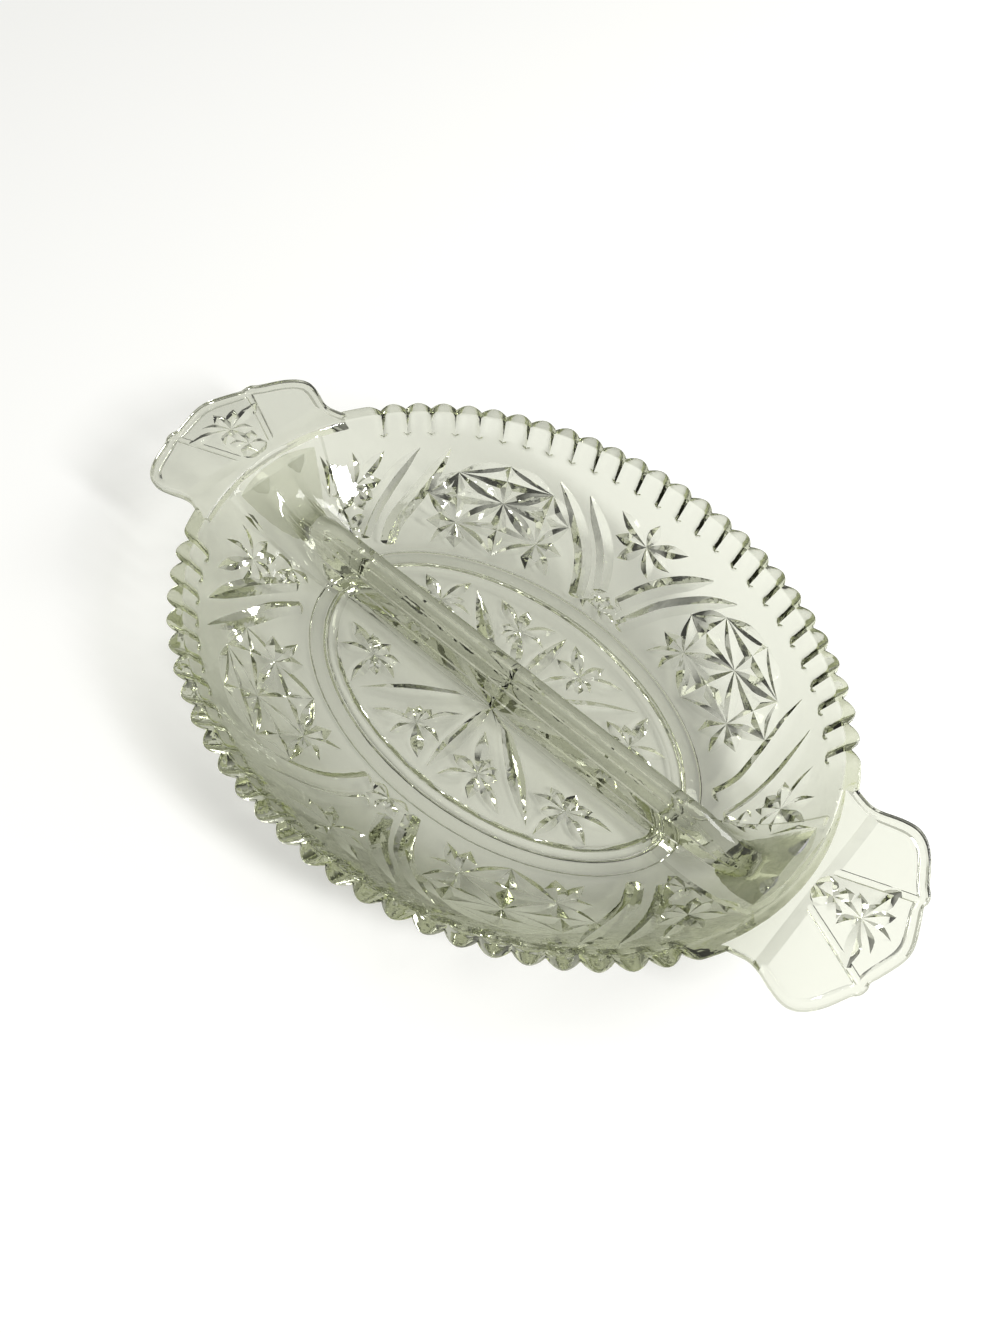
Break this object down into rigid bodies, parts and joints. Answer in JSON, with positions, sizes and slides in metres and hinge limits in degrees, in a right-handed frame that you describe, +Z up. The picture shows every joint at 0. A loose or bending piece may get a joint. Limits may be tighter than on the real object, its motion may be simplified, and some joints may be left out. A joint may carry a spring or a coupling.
{
  "type": "divided relish tray",
  "caption": "Oval divided relish tray of pressed glass with a fluted, toothed rim, a lengthwise dividing rib, lobed tab handles and a foot ring.",
  "frame": {"origin": "centre of the foot ring on the table plane, under the middle of the tray", "axes": "+X along the dividing rib from one tab to the other, +Y across the bowl, +Z up from the table"},
  "size_m": [0.254, 0.1644, 0.0334],
  "materials": {
    "glass": "clear pressed glass with a faint olive tint, smooth inside and cut-pattern outside"
  },
  "bodies": {
    "root": {"base": "glass", "front_wall": "glass", "back_wall": "glass", "front_rim": "glass", "back_rim": "glass", "divider": "glass", "left_handle": "glass", "right_handle": "glass"}
  },
  "joints": []
}
